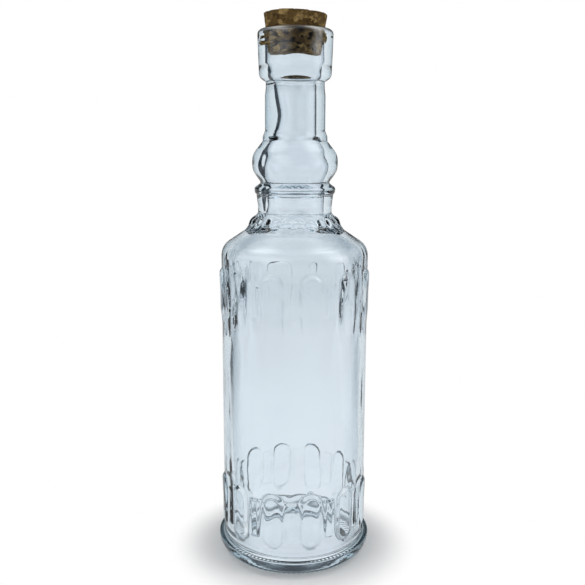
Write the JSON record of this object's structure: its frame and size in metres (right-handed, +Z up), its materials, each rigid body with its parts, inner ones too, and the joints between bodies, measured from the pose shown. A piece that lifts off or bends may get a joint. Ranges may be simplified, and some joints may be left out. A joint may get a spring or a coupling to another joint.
{
  "type": "genie bottle",
  "caption": "Tall clear glass decorative bottle with a bulbed neck, raised lobes round both ends of its body and a tapered cork stopper that pulls out.",
  "frame": {"origin": "centre of the ring that the bottle stands on, at the table", "axes": "+Z up along the bottle's axis to the cork, -Y towards the viewer (front), +X to the viewer's right"},
  "size_m": [0.0623, 0.0622, 0.214],
  "materials": {
    "clear_glass": "clear moulded glass, glossy, very slightly blue",
    "cork": "matt agglomerated cork"
  },
  "bodies": {
    "bottle": {"glass_bottle": "clear_glass"},
    "cork": {"cork_stopper": "cork"}
  },
  "joints": [
    {"name": "cork_pull", "type": "slide", "parent": "bottle", "child": "cork", "axis": [0, 0, 1], "range_m": [0, 0.05]}
  ]
}
